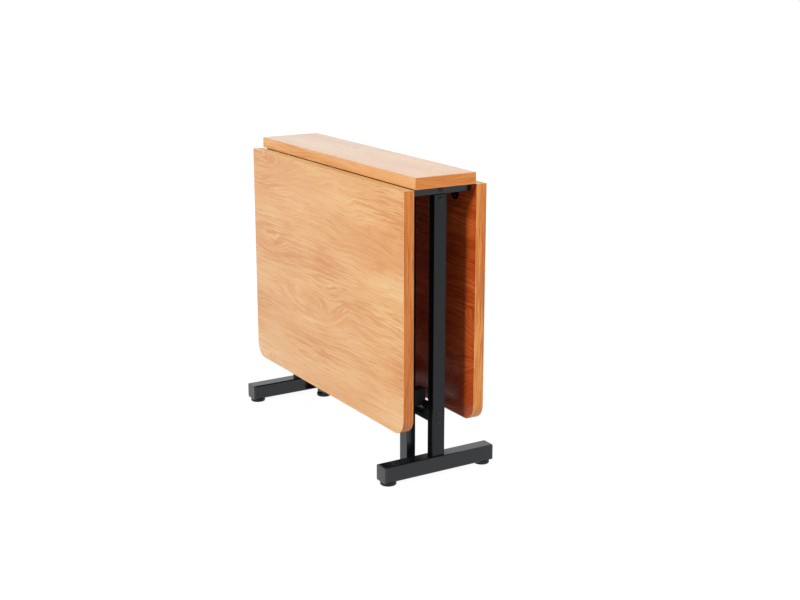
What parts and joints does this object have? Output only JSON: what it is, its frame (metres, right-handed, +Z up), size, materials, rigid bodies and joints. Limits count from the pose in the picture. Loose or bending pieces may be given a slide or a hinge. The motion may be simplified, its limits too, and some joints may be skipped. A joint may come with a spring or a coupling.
{
  "type": "butterfly folding table",
  "caption": "Drop-leaf folding table: narrow centre top on a steel T-leg frame, hinged leaves that hang down when folded, and swing-out gate legs that carry them when raised.",
  "frame": {"origin": "middle of the footprint, on the floor", "axes": "+X along the hinge lines, +Z up from the floor, -Y towards the front leaf"},
  "size_m": [0.796, 0.316, 0.75],
  "materials": {
    "oak_laminate": "satin oak-effect laminate, grain along X",
    "edge_band": "satin edge banding",
    "black_steel": "black satin powder coat",
    "hinge_steel": "black satin",
    "black_plastic": "moulded, matte",
    "nylon": "moulded nylon",
    "black_bolts": "black oxide",
    "screws": "black zinc",
    "bare_steel": "bright steel"
  },
  "bodies": {
    "frame": {"bracket_screws": "screws", "centre_top": "oak_laminate", "centre_top_edge_band": "edge_band", "far_foot_bar": "black_steel", "far_post": "black_steel", "far_top_rail": "black_steel", "foot_end_caps": "black_plastic", "foot_glides": "black_plastic", "front_gate_catch": "black_plastic", "front_hinge_top_plates": "hinge_steel", "front_lower_pivot_bracket": "black_steel", "front_upper_pivot_plate": "black_steel", "gate_catch_magnets": "bare_steel", "gate_catch_screws": "screws", "hinge_pins": "hinge_steel", "hinge_top_screws": "screws", "joining_plates": "black_steel", "lower_pivot_bushes": "nylon", "near_foot_bar": "black_steel", "near_post": "black_steel", "near_top_rail": "black_steel", "pivot_plate_screws": "screws", "rail_bolts": "black_bolts", "rail_end_caps": "black_plastic", "rail_screws": "screws", "rear_gate_catch": "black_plastic", "rear_hinge_top_plates": "hinge_steel", "rear_lower_pivot_bracket": "black_steel", "rear_upper_pivot_plate": "black_steel", "stretcher": "black_steel", "stretcher_bolts": "black_bolts", "stretcher_end_plugs": "black_plastic"},
    "front_leaf": {"front_hinge_leaf_plates": "hinge_steel", "front_hinge_leaf_screws": "screws", "front_leaf_edge_band": "edge_band", "front_leaf_panel": "oak_laminate", "front_leaf_rest": "black_plastic", "front_leaf_rest_screws": "screws"},
    "rear_leaf": {"rear_hinge_leaf_plates": "hinge_steel", "rear_hinge_leaf_screws": "screws", "rear_leaf_edge_band": "edge_band", "rear_leaf_panel": "oak_laminate", "rear_leaf_rest": "black_plastic", "rear_leaf_rest_screws": "screws"},
    "front_gate": {"front_gate_collar": "black_steel", "front_gate_glide": "black_plastic", "front_gate_leg": "black_steel", "front_gate_low_rail": "black_steel", "front_gate_pivot_plugs": "black_plastic", "front_gate_pivot_tube": "black_steel", "front_gate_top_pad": "black_plastic", "front_gate_top_rail": "black_steel"},
    "rear_gate": {"rear_gate_collar": "black_steel", "rear_gate_glide": "black_plastic", "rear_gate_leg": "black_steel", "rear_gate_low_rail": "black_steel", "rear_gate_pivot_plugs": "black_plastic", "rear_gate_pivot_tube": "black_steel", "rear_gate_top_pad": "black_plastic", "rear_gate_top_rail": "black_steel"}
  },
  "joints": [
    {"name": "front_leaf_hinge", "type": "hinge", "parent": "frame", "child": "front_leaf", "pos_m": [0, -0.0854, 0.7203], "axis": [-1, 0, 0], "range_deg": [0, 90]},
    {"name": "rear_leaf_hinge", "type": "hinge", "parent": "frame", "child": "rear_leaf", "pos_m": [0, 0.0854, 0.7203], "axis": [1, 0, 0], "range_deg": [0, 90]},
    {"name": "front_gate_swing", "type": "hinge", "parent": "frame", "child": "front_gate", "pos_m": [-0.29, -0.0465, 0], "axis": [0, 0, -1], "range_deg": [0, 2.3]},
    {"name": "rear_gate_swing", "type": "hinge", "parent": "frame", "child": "rear_gate", "pos_m": [0.29, 0.0465, 0], "axis": [0, 0, -1], "range_deg": [0, 2.3]}
  ]
}
